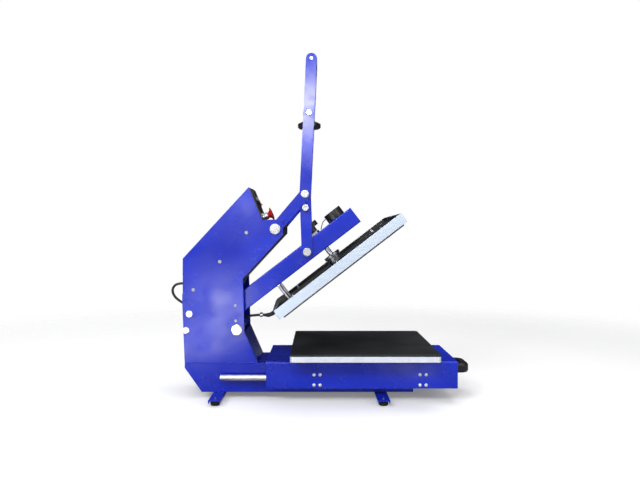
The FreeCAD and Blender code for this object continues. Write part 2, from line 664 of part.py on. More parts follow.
def standing_hexagon(x, y, flats, z, tall):
    """A six-sided nut that stands on z; flats is the distance between opposite sides."""
    reach = flats / math.sqrt(3.0)
    angles = [math.radians(60 * k) for k in range(6)]
    ring = [V(x + reach * math.cos(a), y + reach * math.sin(a), z) for a in angles]
    return Part.Face(Part.makePolygon(ring + ring[:1])).extrude(V(0, 0, tall))


def spindle_nut():
    body = rod_z(PLATEN_X, 0, NUT_R, ARM_BOTTOM, ARM_TOP)
    head = standing_hexagon(PLATEN_X, 0, NUT_FLATS, ARM_TOP, NUT_HEX_TALL)
    return opened(fuse([body, head]).cut(rod_z(PLATEN_X, 0, SPINDLE_R + RUN_CLEAR, 0, 400)))


def rod_bushes():
    return [opened(rod_z(PLATEN_ROD_X, y, ROD_BUSH_R, ARM_BOTTOM - 2, ARM_BOTTOM + 32).cut(
        rod_z(PLATEN_ROD_X, y, PLATEN_ROD_R + RUN_CLEAR, 0, 400))) for y in (-PLATEN_ROD_Y, PLATEN_ROD_Y)]


MAGNET_R = 26.5


def magnet():
    can = rod_z(MAGNET_X, 0, MAGNET_R, ARM_TOP, MAGNET_TOP)
    groove = rod_z(MAGNET_X, 0, 20.0, MAGNET_TOP - 1.0, MAGNET_TOP + 9).cut(
        rod_z(MAGNET_X, 0, 11.0, MAGNET_TOP - 2.0, MAGNET_TOP + 10))
    return opened(can.cut(groove))


WIRE_R = 1.2
WIRE_ROUTE = [(0.0, 275.0), (6.0, 275.5), (14.0, 272.0), (22.0, 266.0), (28.0, 260.4)]  # back from the can, Z


def magnet_wire():
    start = MAGNET_X - MAGNET_R - 0.2
    return opened(tube_path([V(start - back, 0, z) for back, z in WIRE_ROUTE], WIRE_R))


# ---- upper platen, drawn closed ----
def platen_rim():
    skin = box(PLATEN_X - RIM_HALF, PLATEN_X + RIM_HALF, -RIM_HALF, RIM_HALF, RIM_BOTTOM, RIM_TOP)
    skin = skin.makeFillet(2.5, [e for e in skin.Edges if e.BoundBox.ZLength > 9])
    inner = RIM_HALF - SHEET
    well = box(PLATEN_X - inner, PLATEN_X + inner, -inner, inner, RIM_BOTTOM + SHEET, RIM_TOP + 9)
    mouth_half = HEAT_HALF + 0.8
    mouth = box(PLATEN_X - mouth_half, PLATEN_X + mouth_half, -mouth_half, mouth_half, 0, RIM_TOP)
    notch = box(PLATEN_X - RIM_HALF - 9, PLATEN_X - inner + 1, -TERMINAL_HALF, TERMINAL_HALF,
                RIM_TOP - 8, 300)
    return opened(cut(skin, [well, mouth, notch]))


def platen_lid():
    outer = RIM_HALF - SHEET
    tray = box(PLATEN_X - outer, PLATEN_X + outer, -outer, outer, LID_TOP - SHEET, LID_FLANGE_TOP)
    inner = outer - 1.2
    well = box(PLATEN_X - inner, PLATEN_X + inner, -inner, inner, LID_TOP, 300)
    notch = box(PLATEN_X - RIM_HALF - 9, PLATEN_X - inner + 1, -TERMINAL_HALF, TERMINAL_HALF, LID_TOP, 300)
    return opened(cut(tray, [well, notch]))


def insulation():
    half = RIM_HALF - SHEET - 1.0
    return opened(box(PLATEN_X - half, PLATEN_X + half, -half, half, 154.0, LID_TOP - SHEET))


def heating_plate():
    return opened(rounded_slab(PLATEN_X, HEAT_HALF, HEAT_BOTTOM, 154.0, 4.0))


BOSS_FLANGE = (180.0, 188.0)
SPINDLE_FOOT = 168.0


def thrust_boss():
    foot = Part.makeCone(24.0, 21.0, 4.0, V(PLATEN_X, 0, LID_TOP), V(0, 0, 1))
    body = rod_z(PLATEN_X, 0, 21.0, LID_TOP + 4.0, BOSS_FLANGE[0])
    flange = rod_z(PLATEN_X, 0, 24.5, BOSS_FLANGE[0], BOSS_FLANGE[1])
    socket = rod_z(PLATEN_X, 0, SPINDLE_R + RUN_CLEAR, SPINDLE_FOOT, 300)
    return opened(fuse([foot, body, flange]).cut(socket))


LID_NUT_FLATS = 8.0
LID_NUT_TALL = 5.0


def lid_nuts():
    nuts = []
    for sx in (-1, 1):
        for sy in (-1, 1):
            x, y = PLATEN_X + sx * 142.0, sy * 150.0
            nut = standing_hexagon(x, y, LID_NUT_FLATS, LID_TOP, LID_NUT_TALL)
            nuts.append(opened(fuse([nut, rod_z(x, y, 2.5, LID_TOP, LID_TOP + 11.0)])))
    return nuts


PLATEN_ROD_TOP = 248.0


def platen_rods():
    return [opened(rod_z(PLATEN_ROD_X, y, PLATEN_ROD_R, LID_TOP, PLATEN_ROD_TOP))
            for y in (-PLATEN_ROD_Y, PLATEN_ROD_Y)]


TERMINAL_HALF = 30.0
TERMINAL_REAR = -117.0


def terminal_box():
    """A black cap over the heater's terminals, straddling the rim's rear edge."""
    rim_rear = PLATEN_X - RIM_HALF
    outline = [(rim_rear + 31.0, LID_TOP), (rim_rear + 26.0, 179.0), (rim_rear, 180.5),
               (TERMINAL_REAR, 165.0), (TERMINAL_REAR, 149.0), (rim_rear, 149.0),
               (rim_rear, 162.6), (rim_rear + SHEET, 162.6), (rim_rear + SHEET, LID_TOP)]
    cap = side_profile(outline, -TERMINAL_HALF + 0.3, TERMINAL_HALF - 0.3)
    boot = Part.makeCone(6.2, 4.3, 14.0, V(TERMINAL_REAR, 0, 157.0), V(-1, 0, 0))
    return opened(fuse([cap, boot]))


# ---- spindle and knob, drawn closed ----
KNOB_HUB = (266.0, 279.0)
KNOB_DISC = (279.0, 293.0)


def spindle():
    return opened(rod_z(PLATEN_X, 0, SPINDLE_R, SPINDLE_FOOT, KNOB_DISC[0] + 4.0))


def pressure_knob():
    hub = rod_z(PLATEN_X, 0, 11.0, KNOB_HUB[0], KNOB_HUB[1])
    disc = rod_z(PLATEN_X, 0, 24.0, KNOB_DISC[0], KNOB_DISC[1])
    lobes = [rod_z(PLATEN_X + 27.5 * math.cos(math.radians(k)), 27.5 * math.sin(math.radians(k)), 6.5,
                   KNOB_DISC[0] - 1, KNOB_DISC[1] + 1) for k in range(0, 360, 60)]
    bore = rod_z(PLATEN_X, 0, SPINDLE_R, 200, KNOB_DISC[0] + 4.0)
    return opened(cut(fuse([hub, disc]), lobes + [bore]))


# ---- lever, link, armature: drawn open ----
KNEE_R = 6.0
PIN_R = 4.0
GRIP_R = 15.5
GRIP_AT = (-19.2, 918.5)


def lever_bars():
    bar = bent_bar([LEVER_PIVOT, KNEE, LEVER_TOP], LEVER_IN, LEVER_IN + BAR_T)
    holes = [rod_y(LEVER_PIVOT[0], LEVER_PIVOT[1], PIVOT_R + RUN_CLEAR, 0, 99),
             rod_y(KNEE[0], KNEE[1], KNEE_R, 0, 99),
             rod_y(ARMATURE_PIN[0], ARMATURE_PIN[1], PIN_R, 0, 99),
             rod_y(GRIP_AT[0], GRIP_AT[1], SCREW_R, 0, 99)]
    return both_sides(cut(bar, holes))


def link_bars():
    bar = bent_bar([KNEE, LINK_FOOT], LINK_IN, LINK_IN + BAR_T)
    holes = [rod_y(KNEE[0], KNEE[1], KNEE_R + RUN_CLEAR, 0, 99),
             rod_y(ROLLER_AT[0], ROLLER_AT[1], ROLLER_BOLT_R, 0, 99),
             rod_y(LINK_FOOT[0], LINK_FOOT[1], KNEE_R, 0, 99)]
    return both_sides(cut(bar, holes))


ROLLER_R = 8.5
ROLLER_BOLT_R = 5.0


def link_bolts():
    """The stop rollers' bolts and rollers, and the bolts of the link's foot, which stop short of the arm."""
    outer = LINK_IN + BAR_T
    x, z = ROLLER_AT
    roller = rod_y(x, z, ROLLER_R, outer + 0.2, LEVER_IN + BAR_T + 0.5)
    bolt = fuse([rod_y(x, z, ROLLER_BOLT_R, LINK_IN - 1.0, outer + 0.2), roller,
                 rod_y(x, z, 8.6, LEVER_IN + BAR_T + 0.5, LEVER_IN + BAR_T + 6.5)])
    bolt = bolt.cut(hexagon(x, z, 8.0, LEVER_IN + BAR_T + 2.5, LEVER_IN + BAR_T + 9))
    x, z = LINK_FOOT
    foot = fuse([rod_y(x, z, KNEE_R, ARM_HALF + 0.5, outer), rod_y(x, z, 11.0, outer, outer + 1.6),
                 hexagon(x, z, 17.0, outer + 1.6, outer + 8.0)])
    return both_sides(bolt) + both_sides(foot)


def knee_bolt():
    x, z = KNEE
    half = LEVER_IN + BAR_T
    shaft = fuse([rod_y(x, z, KNEE_R, -half, half)] + both_sides(rod_y(x, z, 10.5, half, half + 1.6))
                 + both_sides(hexagon(x, z, 17.0, half + 1.6, half + 7.6)))
    spacer = rod_y(x, z, 9.0, -LINK_IN + 0.3, LINK_IN - 0.3).cut(rod_y(x, z, KNEE_R, -99, 99))
    return [shaft, spacer]


LEVER_SCREW_HEAD_R = 4.7
LEVER_SCREW_HEAD_T = 2.6


def lever_bolts():
    half = LEVER_IN + BAR_T
    x, z = ARMATURE_PIN
    pin = fuse([rod_y(x, z, PIN_R, -half, half)] + both_sides(hexagon(x, z, 13.0, half, half + 5.3)))
    x, z = GRIP_AT
    shank = rod_y(x, z, SCREW_R, LEVER_IN - 8.0, half)
    head = rod_y(x, z, LEVER_SCREW_HEAD_R, half, half + LEVER_SCREW_HEAD_T)
    screws = both_sides(fuse([shank, head]))
    return [pin] + screws


def lever_grip():
    """A round sleeve between the tops of the lever bars, with a screw in each end."""
    x, z = GRIP_AT
    half = LEVER_IN - 0.1
    holes = both_sides(rod_y(x, z, SCREW_R, LEVER_IN - 8.0, LEVER_IN + 9.0))
    return cut(rod_y(x, z, GRIP_R, -half, half), holes)


def armature():
    """The steel disc that the magnet holds, on a stem that hangs from a sleeve between the lever bars."""
    x, z = ARMATURE_PIN
    low = z - ARMATURE_DROP
    sleeve = rod_y(x, z, 9.0, -LEVER_IN + 0.4, LEVER_IN - 0.4)
    head = turned(x, 0, [(29.0, 32.0, low, low + 3.0), (32.0, 32.0, low + 3.0, low + 12.0),
                         (32.0, 20.0, low + 12.0, low + 18.0), (20.0, 12.0, low + 18.0, low + 22.0),
                         (8.0, 8.0, low + 20.0, z)])
    return fuse([sleeve, head]).cut(rod_y(x, z, PIN_R + RUN_CLEAR, -99, 99))


# ---- leads and springs ----
LEAD_LOOP = [V(-365.5, 0, 303.0), V(-386.0, 0, 304.5), V(-404.5, 0, 300.0), V(-412.8, 0, 285.0),
             V(-407.0, 0, 268.0), V(-394.0, 0, 256.0), V(-379.0, 0, 247.0), V(-364.5, 0, 240.0)]
LEAD_INSIDE = [V(-362.4, 0, 239.8), V(-343.0, 0, 239.4), V(-320.0, 0, 230.5), V(-291.0, 0, 216.0),
               V(-258.0, 0, 207.8), V(-225.0, 0, 207.0), V(-190.0, 0, 213.5), V(-157.4, 0, 215.5)]
LEAD_END = [V(-156.3, 0, 215.3), V(-149.5, 0, 214.2), V(-141.5, 0, 213.4), V(-133.6, 0, 216.4)]


def cable_glands():
    """The gland where the lead leaves the control box, and the grommet where it enters the column."""
    gland = fuse([Part.makeCylinder(GLAND_R, 10, V(COLUMN_REAR - 4.0, 0, GLAND_Z), V(1, 0, 0)),
                  Part.makeCone(6.2, 9.0, 14.0, V(COLUMN_REAR - 14.0, 0, GLAND_Z), V(1, 0, 0))])
    gland = gland.cut(box(COLUMN_REAR - 0.0, COLUMN_REAR + SHEET, -20, 20, 280, 320).cut(
        Part.makeCylinder(GLAND_R, 40, V(-390, 0, GLAND_Z), V(1, 0, 0))))
    grommet = fuse([Part.makeCylinder(GROMMET_R, 5.0, V(-368.6, 0, GROMMET[1]), V(1, 0, 0)),
                    Part.makeCylinder(9.5, 2.5, V(-371.1, 0, GROMMET[1] + 0.5), V(1, 0, 0))])
    return gland, grommet


def return_springs():
    """Two extension springs from the anchor bolt to the pin in the arm's tail, as plain closed cylinders."""
    pin = V(SPRING_PIN[0], 0, SPRING_PIN[1])
    turned = FreeCAD.Rotation(V(0, 1, 0), -OPEN_DEG)
    pin = turned.multVec(pin - ARM_PIVOT_V) + ARM_PIVOT_V
    anchor = V(ANCHOR[0], 0, ANCHOR[1])
    along = pin - anchor
    length = along.Length
    along.normalize()
    ends = 6.0
    start = anchor + along * ends
    return [Part.makeCylinder(8.0, length - 2 * ends, start + V(0, y, 0), along) for y in (-27.0, 27.0)]


def lead_clip():
    """A steel clip that carries the lead below the arm."""
    ring = Part.makeCylinder(6.5, 7.0, V(-164.5, 0, 215.5), V(1, 0, 0)).cut(
        Part.makeCylinder(LEAD_R + 0.5, 20.0, V(-170.0, 0, 215.5), V(1, 0, 0)))
    return ring


def power_inlet():
    flange = box(COLUMN_REAR - INLET_FLANGE_T, COLUMN_REAR, INLET_Y - INLET_HALF_Y, INLET_Y + INLET_HALF_Y,
                 INLET_Z - INLET_HALF_Z, INLET_Z + INLET_HALF_Z)
    body = box(COLUMN_REAR, COLUMN_REAR + 26.0, INLET_Y - INLET_W / 2, INLET_Y + INLET_W / 2,
               INLET_Z - INLET_H / 2, INLET_Z + INLET_H / 2)
    socket = box(COLUMN_REAR - 9.0, COLUMN_REAR + 17.0, INLET_Y - 11.5, INLET_Y + 11.5, INLET_Z - 8.0,
                 INLET_Z + 8.0)
    return fuse([flange, body]).cut(socket)


# ---- write every piece ----
def main():
    plate = both_sides(side_plate())
    write("side_plate_left", plate[0])
    write("side_plate_right", plate[1])
    gland, grommet = cable_glands()
    loop = tube_path(LEAD_LOOP, LEAD_R)
    inside = tube_path(LEAD_INSIDE, LEAD_R)
    end = tube_path(LEAD_END, LEAD_R)
    write("cable_glands", [cut(gland, [loop]), cut(grommet, [loop, inside])])
    write("heater_lead_rear", loop)
    write("heater_lead_mid", inside)
    write("heater_lead_end", end)
    singles = {
        "base_box": base_box, "column_rear_panel": rear_panel, "column_front_plate": front_plate,
        "head_under_cover": under_cover, "control_box_cover": control_cover, "control_panel": control_panel,
        "controller": controller, "display_window": display_window, "controller_keys": controller_keys,
        "rocker_housing": rocker_housing, "power_rocker": power_rocker, "estop_collar": estop_collar,
        "estop_button": estop_button, "pivot_bolts": pivot_bolts, "rear_bolts": rear_bolts,
        "frame_screws": frame_screws, "limit_switch": limit_switch, "foot_channels": foot_channels,
        "rubber_feet": rubber_feet, "slide_bearings": slide_bearings, "power_inlet": power_inlet,
        "drawer_shell": drawer_shell, "rod_blocks": rod_blocks, "block_screws": block_screws,
        "drawer_rods": drawer_rods, "drawer_handle": drawer_handle, "platen_standoffs": standoffs,
        "arm_tube": arm_tube, "arm_cheeks": arm_cheeks, "spindle_nut": spindle_nut, "rod_bushes": rod_bushes,
        "magnet": magnet, "magnet_wire": magnet_wire, "lead_clip": lead_clip,
        "return_springs": return_springs, "platen_rim": platen_rim, "platen_lid": platen_lid,
        "insulation_board": insulation, "heating_plate": heating_plate, "thrust_boss": thrust_boss,
        "lid_nuts": lid_nuts, "platen_rods": platen_rods, "terminal_box": terminal_box,
        "spindle": spindle, "pressure_knob": pressure_knob, "lever_bars": lever_bars,
        "link_bars": link_bars, "link_bolts": link_bolts, "knee_bolt": knee_bolt, "lever_bolts": lever_bolts,
        "lever_grip": lever_grip, "armature": armature,
    }
    for name, make in singles.items():
        write(name, make())
    write("lower_platen", rounded_slab(LOWER_X, LOWER_HALF, LOWER_BOTTOM, LOWER_TOP, 8.0))
    write("lower_pad", rounded_slab(LOWER_X, LOWER_HALF, LOWER_TOP, PAD_TOP, 8.0))


main()
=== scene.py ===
import bpy
import bmesh
import json
import math
import random
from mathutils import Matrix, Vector


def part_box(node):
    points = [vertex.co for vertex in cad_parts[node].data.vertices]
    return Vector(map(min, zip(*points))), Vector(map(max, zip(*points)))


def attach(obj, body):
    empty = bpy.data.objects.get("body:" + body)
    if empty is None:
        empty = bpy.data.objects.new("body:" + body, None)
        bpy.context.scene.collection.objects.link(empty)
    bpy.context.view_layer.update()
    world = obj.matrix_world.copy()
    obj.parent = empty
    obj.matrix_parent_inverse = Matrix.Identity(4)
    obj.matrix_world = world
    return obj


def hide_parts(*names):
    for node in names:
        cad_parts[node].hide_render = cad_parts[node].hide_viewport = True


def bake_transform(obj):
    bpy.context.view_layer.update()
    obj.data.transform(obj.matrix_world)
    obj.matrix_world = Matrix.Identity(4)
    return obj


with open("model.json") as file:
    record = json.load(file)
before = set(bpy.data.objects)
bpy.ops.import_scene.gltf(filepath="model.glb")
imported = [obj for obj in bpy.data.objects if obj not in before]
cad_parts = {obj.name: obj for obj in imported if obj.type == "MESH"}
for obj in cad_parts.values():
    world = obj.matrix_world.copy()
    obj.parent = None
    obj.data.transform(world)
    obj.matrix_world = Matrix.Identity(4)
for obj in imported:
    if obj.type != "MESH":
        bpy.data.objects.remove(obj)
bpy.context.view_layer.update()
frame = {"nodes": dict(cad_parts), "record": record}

# Metres, in the frame of the CAD model: +X front, +Y left, +Z up.
CAMERA_AT = (0.0, -1.682, 0.437)
CAMERA_LENS = 33.58
CAMERA_SHIFT = (0.0023, -0.00625)
FLOOR_FADE = (1.1, 2.3)       # the floor's colour fades out between these distances from the press
FLOOR_GLOW = 0.2
BACKGROUND = 1.0
SKY = (0.04, 0.74)            # light from the far side and from the near side
OVERHEAD = 0.22
# Soft ovals of light on the floor, seen in reflections: middle, reach, strength.
FLOOR_PATCHES = (((-0.47, -1.15), (0.19, 0.70), 6.0), ((0.30, -0.52), (0.13, 0.16), 1.3))
# Area lights: name, place, aim, size, power in watts.
LIGHTS = (
    ("key", (-1.9, -2.6, 2.4), (0, 0, 0.4), (1.4, 1.2), 54.0),
    ("fill", (2.4, -2.4, 1.7), (0.1, 0, 0.4), (1.4, 1.4), 26.0),
    ("top", (0.2, 0.3, 2.8), (0, 0, 0.3), (2.4, 1.8), 40.0),
    ("back", (-1.6, 1.6, 1.8), (0, 0, 0.4), (1.2, 1.0), 10.0),
    ("low_card", (-0.53, -1.72, 0.09), (-0.53, 0, 0.09), (0.26, 0.18), 1.3),
    ("middle_card", (-0.42, -1.72, 0.60), (-0.42, 0, 0.60), (0.20, 0.20), 0.5),
    ("high_card", (-0.04, -1.72, 1.14), (-0.04, 0, 1.14), (0.40, 0.24), 9.5),
)
MM = 0.001
BODY_OF = {node: body for body, nodes in frame["record"]["behaviour"]["bodies"].items() for node in nodes}
SLOT_OF = {part["node"]: part["material_slot"] for part in frame["record"]["subparts"]}


# ---------------------------------------------------------------- materials
class Surface:
    """A Principled material under construction, with short calls for procedural detail in metres."""

    def __init__(self, name, roughness=0.4, metallic=0.0, coat=0.0, coat_roughness=0.05, specular=0.5):
        self.material = bpy.data.materials.new(name)
        self.material.use_nodes = True
        self.tree = self.material.node_tree
        self.shader = self.tree.nodes["Principled BSDF"]
        self.shader.inputs["Roughness"].default_value = roughness
        self.shader.inputs["Metallic"].default_value = metallic
        self.shader.inputs["Coat Weight"].default_value = coat
        self.shader.inputs["Coat Roughness"].default_value = coat_roughness
        self.shader.inputs["Specular IOR Level"].default_value = specular
        self.place = self.tree.nodes.new("ShaderNodeTexCoord").outputs["Object"]
        self.height = None

    def node(self, kind, **values):
        made = self.tree.nodes.new(kind)
        for key, value in values.items():
            setattr(made, key, value)
        return made

    def link(self, a, b):
        self.tree.links.new(a, b)

    def stretched(self, scale=(1, 1, 1), turn=(0, 0, 0)):
        mapping = self.node("ShaderNodeMapping")
        mapping.inputs["Scale"].default_value = scale
        mapping.inputs["Rotation"].default_value = turn
        self.link(self.place, mapping.inputs["Vector"])
        return mapping.outputs["Vector"]

    def noise(self, scale, detail=3.0, rough=0.55, place=None):
        made = self.node("ShaderNodeTexNoise")
        made.inputs["Scale"].default_value = scale
        made.inputs["Detail"].default_value = detail
        made.inputs["Roughness"].default_value = rough
        self.link(place or self.place, made.inputs["Vector"])
        return made.outputs["Fac"]

    def ramp(self, value, low, high, out_low=0.0, out_high=1.0):
        made = self.node("ShaderNodeMapRange")
        made.interpolation_type = "SMOOTHSTEP"
        made.inputs["From Min"].default_value = low
        made.inputs["From Max"].default_value = high
        made.inputs["To Min"].default_value = out_low
        made.inputs["To Max"].default_value = out_high
        self.link(value, made.inputs["Value"])
        return made.outputs["Result"]

    def math(self, kind, a, b):
        made = self.node("ShaderNodeMath", operation=kind)
        for socket, value in zip(made.inputs, (a, b)):
            if isinstance(value, (int, float)):
                socket.default_value = value
            else:
                self.link(value, socket)
        return made.outputs[0]

    def mix(self, fac, a, b):
        made = self.node("ShaderNodeMix", data_type="RGBA")
        self.link(fac, made.inputs["Factor"])
        for socket, value in ((made.inputs[6], a), (made.inputs[7], b)):
            if isinstance(value, tuple):
                socket.default_value = (*value, 1.0)
            else:
                self.link(value, socket)
        return made.outputs[2]

    def colour(self, value):
        self.link(value, self.shader.inputs["Base Color"])

    def roughness(self, value):
        self.link(value, self.shader.inputs["Roughness"])

    def bump(self, value, distance, strength=1.0):
        made = self.node("ShaderNodeBump")
        made.inputs["Distance"].default_value = distance
        made.inputs["Strength"].default_value = strength
        self.link(value, made.inputs["Height"])
        if self.height is not None:
            self.link(self.height, made.inputs["Normal"])
        self.height = made.outputs["Normal"]
        self.link(self.height, self.shader.inputs["Normal"])

    def edges(self, radius, low=0.02, high=0.25):
        """A mask of the convex and concave edges, from how far a rounded normal leans away."""
        rounded = self.node("ShaderNodeBevel", samples=4)
        rounded.inputs["Radius"].default_value = radius
        plain = self.node("ShaderNodeNewGeometry")
        dot = self.node("ShaderNodeVectorMath", operation="DOT_PRODUCT")
        self.link(rounded.outputs["Normal"], dot.inputs[0])
        self.link(plain.outputs["Normal"], dot.inputs[1])
        away = self.math("SUBTRACT", 1.0, dot.outputs["Value"])
        return self.ramp(away, low, high)


def powder_coat(name, deep, light, wear_and_highlight_tone, roughness=0.2, coat=0.0):
    """Glossy baked powder coat: faint orange peel, uneven tone, dust, fine scratches, rubbed edges whose
    lighter tone is also a painted edge highlight.
    """
    s = Surface(name, coat=coat, coat_roughness=0.06)
    tone = s.mix(s.ramp(s.noise(5.0, 4.0), 0.35, 0.7), deep, light)
    # Lighter tone along the edges, broken up by noise: partly rubbed wear, partly a painted edge highlight.
    worn_and_highlit_edges = s.math("MULTIPLY", s.edges(1.2 * MM), s.ramp(s.noise(160.0, 4.0), 0.42, 0.62))
    tone = s.mix(worn_and_highlit_edges, tone, wear_and_highlight_tone)
    scratch_lines = s.noise(34.0, 2.0, 0.4, s.stretched((1, 1, 26), (0, 0.6, 0.3)))
    scratches = s.math("MULTIPLY", s.ramp(scratch_lines, 0.69, 0.72), s.ramp(s.noise(9.0, 2.0), 0.56, 0.66))
    tone = s.mix(s.math("MULTIPLY", scratches, 0.3), tone, wear_and_highlight_tone)
    s.colour(tone)
    smudge = s.ramp(s.noise(14.0, 5.0, 0.6), 0.3, 0.75, roughness - 0.05, roughness + 0.12)
    s.roughness(s.math("ADD", smudge, s.math("MULTIPLY", worn_and_highlit_edges, 0.25)))
    s.bump(s.noise(520.0, 2.0), 0.00006, 0.5)
    s.bump(s.noise(60.0, 2.0), 0.00012, 0.4)
    return s.material


def plated(name, tint, dull, roughness=0.22, grain=(1, 1, 1), grain_scale=900.0, specks=0.25, metallic=1.0):
    """Plated or machined metal: directional grain, cloudy tone and small dark specks."""
    s = Surface(name, metallic=metallic)
    cloud = s.ramp(s.noise(70.0, 4.0), 0.3, 0.75)
    tone = s.mix(cloud, tint, dull)
    speck = s.math("MULTIPLY", s.ramp(s.noise(420.0, 3.0), 0.62, 0.7), specks)
    s.colour(s.mix(speck, tone, tuple(c * 0.35 for c in dull)))
    lines = s.noise(grain_scale, 2.0, 0.5, s.stretched(grain))
    s.roughness(s.ramp(lines, 0.25, 0.75, roughness - 0.07, roughness + 0.14))
    s.bump(lines, 0.00003, 0.5)
    return s.material


def moulded(name, dark, light, roughness=0.5, texture=1400.0, depth=0.00004, dust=0.1):
    """Moulded plastic or rubber: fine spark texture, rubbed edges and a little dust."""
    s = Surface(name, specular=0.45)
    tone = s.mix(s.ramp(s.noise(18.0, 4.0), 0.3, 0.7), dark, light)
    rubbed = s.math("MULTIPLY", s.edges(0.8 * MM), 0.35)
    tone = s.mix(rubbed, tone, tuple(min(1.0, c * 2.2 + 0.02) for c in light))
    dusty = s.math("MULTIPLY", s.ramp(s.noise(260.0, 5.0), 0.6, 0.8), dust)
    s.colour(s.mix(dusty, tone, (0.3, 0.3, 0.3)))
    s.roughness(s.ramp(s.noise(30.0, 4.0), 0.3, 0.7, roughness - 0.08, roughness + 0.1))
    s.bump(s.noise(texture, 2.0), depth, 0.6)
    return s.material


def silicone(name):
    """The pad: matt black silicone sponge with a fine moulded cloth face and chalky rubs."""
    s = Surface(name, specular=0.35)
    tone = s.mix(s.ramp(s.noise(7.0, 5.0), 0.35, 0.7), (0.012, 0.013, 0.015), (0.022, 0.024, 0.028))
    chalk = s.math("MULTIPLY", s.ramp(s.noise(22.0, 6.0, 0.65), 0.58, 0.8), 0.22)
    s.colour(s.mix(chalk, tone, (0.09, 0.095, 0.1)))
    s.roughness(s.ramp(s.noise(12.0, 4.0), 0.3, 0.7, 0.42, 0.6))
    weave_a = s.node("ShaderNodeTexWave", wave_type="BANDS", bands_direction="X")
    weave_b = s.node("ShaderNodeTexWave", wave_type="BANDS", bands_direction="Y")
    for weave in (weave_a, weave_b):
        weave.inputs["Scale"].default_value = 320.0
        s.link(s.place, weave.inputs["Vector"])
    s.bump(s.math("MULTIPLY", weave_a.outputs["Fac"], weave_b.outputs["Fac"]), 0.00005, 0.5)
    s.bump(s.noise(40.0, 3.0), 0.0001, 0.3)
    return s.material


def rim_paint(name):
    """Silver-white paint on thin sheet: soft sheen, faint heat tint, fine brush marks along the sheet."""
    s = Surface(name, metallic=0.55, coat=0.15, coat_roughness=0.3)
    tone = s.mix(s.ramp(s.noise(3.5, 4.0), 0.3, 0.7), (0.60, 0.70, 0.84), (0.70, 0.78, 0.90))
    tint = s.math("MULTIPLY", s.ramp(s.noise(11.0, 5.0), 0.55, 0.8), 0.2)
    s.colour(s.mix(tint, tone, (0.55, 0.52, 0.5)))
    brushed = s.noise(300.0, 2.0, 0.5, s.stretched((0.08, 0.08, 1), (0, math.radians(37.6), 0)))
    s.roughness(s.ramp(brushed, 0.3, 0.7, 0.36, 0.42))
    s.bump(brushed, 0.000005, 0.3)
    return s.material


BLUE = ((0.002, 0.016, 0.42), (0.005, 0.026, 0.56))
MATERIALS = {
    # The third colour of each powder coat is its worn-edge tone, which also paints a highlight along the
    # edges.
    "powder_coat_blue": powder_coat("blue_powder_coat", *BLUE, (0.16, 0.24, 0.78)),
    # A darker copy of the blue coat: its darkness is painted shade for faces turned away from the lamps.
    "powder_coat_navy": powder_coat("navy_shaded_powder_coat", (0.004, 0.012, 0.20), (0.007, 0.02, 0.30),
                                    (0.10, 0.14, 0.5)),
    "black_sheet": powder_coat("black_powder_coat", (0.006, 0.006, 0.007), (0.014, 0.013, 0.013),
                               (0.08, 0.08, 0.085), roughness=0.38),
    "black_plastic": moulded("black_plastic", (0.008, 0.008, 0.009), (0.02, 0.02, 0.022), 0.38),
    "key_plastic": moulded("key_film", (0.22, 0.23, 0.25), (0.3, 0.31, 0.33), 0.5),
    "display_glass": moulded("smoked_window", (0.02, 0.004, 0.004), (0.03, 0.006, 0.006), 0.15, depth=0.0),
    "red_plastic": moulded("red_plastic", (0.42, 0.006, 0.008), (0.62, 0.012, 0.012), 0.28, depth=0.00001),
    "zinc_steel": plated("zinc_plate", (0.82, 0.83, 0.86), (0.6, 0.6, 0.58), 0.24),
    "bright_steel": plated("bright_steel", (0.86, 0.87, 0.89), (0.66, 0.66, 0.66), 0.14, (0.05, 1, 1)),
    "black_steel": moulded("black_oxide", (0.006, 0.006, 0.007), (0.016, 0.016, 0.018), 0.3, 500.0),
    "machined_aluminium": plated("machined_aluminium", (0.78, 0.79, 0.8), (0.6, 0.61, 0.62), 0.3,
                                 (0.05, 1, 1)),
    "rim_sheet": rim_paint("rim_paint"),
    "silicone_pad": silicone("silicone_pad"),
    "foot_rubber": moulded("foot_rubber", (0.006, 0.006, 0.006), (0.016, 0.016, 0.016), 0.6, dust=0.25),
    "lead_rubber": moulded("lead_sheath", (0.006, 0.006, 0.007), (0.015, 0.015, 0.016), 0.42),
    "mineral_board": moulded("mineral_board", (0.45, 0.4, 0.32), (0.6, 0.55, 0.46), 0.85, 300.0, 0.0002),
}
SPECIAL = {
    "thrust_boss": plated("dark_turned_steel", (0.30, 0.31, 0.34), (0.12, 0.12, 0.13), 0.2, (1, 1, 0.05)),
    "heating_plate": plated("coated_plate", (0.16, 0.13, 0.12), (0.09, 0.075, 0.07), 0.45, (0.05, 1, 1)),
    "drawer_rods": plated("ground_rod", (0.92, 0.91, 0.90), (0.74, 0.72, 0.70), 0.3, (0.02, 1, 1)),
    "platen_rods": plated("plain_rod", (0.55, 0.57, 0.60), (0.40, 0.41, 0.44), 0.32, (1, 1, 0.05)),
    "spindle": plated("screw_rod", (0.55, 0.57, 0.60), (0.36, 0.37, 0.40), 0.32, (1, 1, 0.05)),
    "lower_platen": plated("planed_aluminium", (0.86, 0.90, 0.98), (0.76, 0.81, 0.92), 0.36, (0.05, 1, 1),
                           specks=0.1, metallic=0.45),
    "frame_screws": plated("dull_zinc", (0.45, 0.46, 0.47), (0.30, 0.31, 0.31), 0.36),
    "block_screws": plated("new_zinc", (0.92, 0.93, 0.94), (0.74, 0.75, 0.75), 0.34, metallic=0.55),
}


# ---------------------------------------------------------------- making pieces
def finish_piece(piece, body, slot, *stands_for, material=None):
    """Gives a new piece the material of its slot and its body, and hides the CAD nodes it stands for."""
    piece.data.materials.clear()
    piece.data.materials.append(material or MATERIALS[slot])
    if body:
        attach(piece, body)
    if stands_for:
        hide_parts(*stands_for)
    return piece


